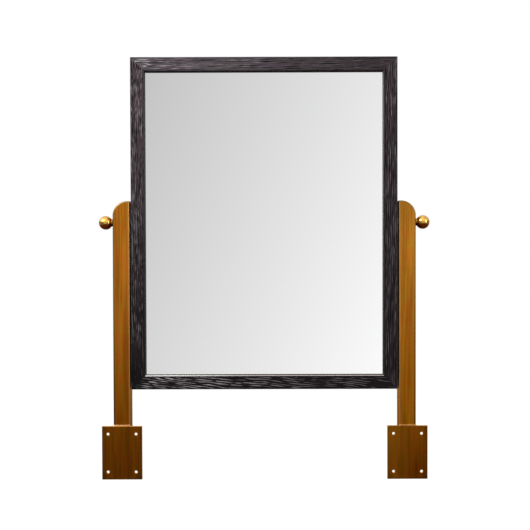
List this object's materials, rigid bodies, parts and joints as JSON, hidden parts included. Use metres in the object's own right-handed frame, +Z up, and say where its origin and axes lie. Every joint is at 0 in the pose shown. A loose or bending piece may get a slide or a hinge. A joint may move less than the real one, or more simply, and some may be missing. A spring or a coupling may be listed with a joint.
{
  "type": "dressing table mirror",
  "caption": "Rectangular framed mirror that tilts on ball-knob pivots between square brass posts, each ending in a screw plate for fixing behind a dressing table.",
  "frame": {"origin": "midway between the two screw plates, at the middle of their hole patterns and on the plane of their front faces, which bear on the back of the table", "axes": "+X to the right as seen from the front, +Y to the rear, +Z up along the posts"},
  "size_m": [0.4998, 0.03, 0.6325],
  "materials": {
    "black_oak": "satin",
    "key_oak": "satin",
    "silvered_glass": "polished",
    "black_board": "matte",
    "bead_wood": "satin",
    "pin_steel": "satin",
    "block_rubber": "matte",
    "plain_brass": "satin",
    "black_nylon": "matte",
    "aged_brass": "satin",
    "dark_brass": "satin",
    "polished_brass": "polished"
  },
  "bodies": {
    "stand": {"left_post": "aged_brass", "right_post": "aged_brass", "left_post_cap": "aged_brass", "right_post_cap": "aged_brass", "left_screw_plate": "dark_brass", "right_screw_plate": "dark_brass", "left_sleeve": "plain_brass", "right_sleeve": "plain_brass", "left_end_plug": "black_nylon", "right_end_plug": "black_nylon"},
    "mirror": {"frame_top_rail": "black_oak", "frame_bottom_rail": "black_oak", "frame_left_stile": "black_oak", "frame_right_stile": "black_oak", "key_top_left": "key_oak", "key_top_right": "key_oak", "key_bottom_left": "key_oak", "key_bottom_right": "key_oak", "mirror_glass": "silvered_glass", "backing_board": "black_board", "bead_top": "bead_wood", "bead_bottom": "bead_wood", "bead_left": "bead_wood", "bead_right": "bead_wood", "bead_pins": "pin_steel", "left_setting_block": "block_rubber", "right_setting_block": "block_rubber", "left_insert": "plain_brass", "right_insert": "plain_brass", "left_friction_washer": "black_nylon", "right_friction_washer": "black_nylon"},
    "left_washer": {"left_knob_washer": "polished_brass"},
    "right_washer": {"right_knob_washer": "polished_brass"},
    "left_knob": {"left_ball_knob": "polished_brass", "left_stud": "plain_brass"},
    "right_knob": {"right_ball_knob": "polished_brass", "right_stud": "plain_brass"}
  },
  "joints": [
    {"name": "mirror_tilt", "type": "hinge", "parent": "stand", "child": "mirror", "pos_m": [0, 0.0175, 0.3455], "axis": [1, 0, 0], "continuous": true},
    {"name": "left_knob_travel", "type": "slide", "parent": "mirror", "child": "left_washer", "axis": [-1, 0, 0], "range_m": [0, 0.002]},
    {"name": "left_knob_turn", "type": "hinge", "parent": "left_washer", "child": "left_knob", "pos_m": [-0.2394, 0.0175, 0.3455], "axis": [-1, 0, 0], "range_deg": [0, 720]},
    {"name": "right_knob_travel", "type": "slide", "parent": "mirror", "child": "right_washer", "axis": [1, 0, 0], "range_m": [0, 0.002]},
    {"name": "right_knob_turn", "type": "hinge", "parent": "right_washer", "child": "right_knob", "pos_m": [0.2394, 0.0175, 0.3455], "axis": [1, 0, 0], "range_deg": [0, 720]}
  ],
  "couplings": [
    {"joint": "left_knob_turn", "follows": "left_knob_travel", "rad_per_m": 6283.2},
    {"joint": "right_knob_turn", "follows": "right_knob_travel", "rad_per_m": 6283.2}
  ]
}
